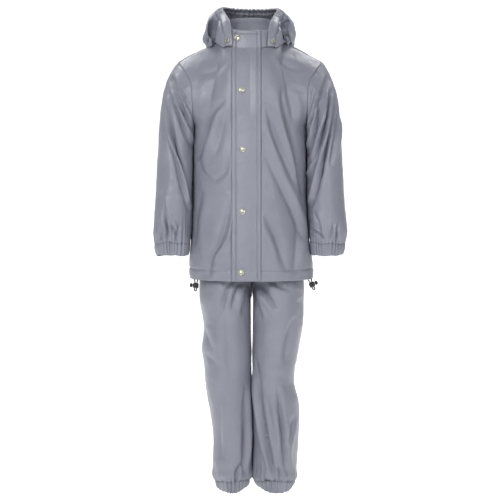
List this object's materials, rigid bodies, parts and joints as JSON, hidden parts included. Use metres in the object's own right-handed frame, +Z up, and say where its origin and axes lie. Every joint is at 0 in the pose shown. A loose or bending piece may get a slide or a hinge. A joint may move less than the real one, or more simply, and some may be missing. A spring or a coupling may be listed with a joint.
{
  "type": "child's rain suit",
  "caption": "Worn, filled-out child's rain suit: hooded jacket with a snapped storm flap, elastic cuffs and a drawcord hem, over trousers with elastic ankles",
  "frame": {"origin": "between the wearer's shoulders, level with the neck seam at the centre front, where the wearer holds the suit up", "axes": "+Z up, the front faces -Y, +X is the wearer's left"},
  "size_m": [0.404, 0.2408, 1.0265],
  "materials": {
    "coated_cloth": "soft satin coating",
    "snap_metal": "pale polished",
    "cord": "braided",
    "lock_plastic": "satin"
  },
  "bodies": {
    "root": {"jacket_front_right": "coated_cloth", "jacket_front_left": "coated_cloth", "jacket_back": "coated_cloth", "collar": "coated_cloth", "storm_flap": "coated_cloth", "flap_snap_1": "snap_metal", "flap_snap_2": "snap_metal", "flap_snap_3": "snap_metal", "flap_snap_4": "snap_metal", "flap_snap_5": "snap_metal", "hood_right": "coated_cloth", "hood_left": "coated_cloth", "hood_edge": "coated_cloth", "sleeve_right": "coated_cloth", "sleeve_left": "coated_cloth", "cuff_right": "coated_cloth", "cuff_left": "coated_cloth", "trouser_front_right": "coated_cloth", "trouser_back_right": "coated_cloth", "trouser_front_left": "coated_cloth", "trouser_back_left": "coated_cloth", "trouser_waistband": "coated_cloth", "ankle_right": "coated_cloth", "ankle_left": "coated_cloth", "hood_snap_right": "snap_metal", "hood_snap_left": "snap_metal", "drawcord_right": "cord", "cord_lock_right": "lock_plastic", "lock_plunger_right": "lock_plastic", "drawcord_left": "cord", "cord_lock_left": "lock_plastic", "lock_plunger_left": "lock_plastic"}
  },
  "joints": []
}
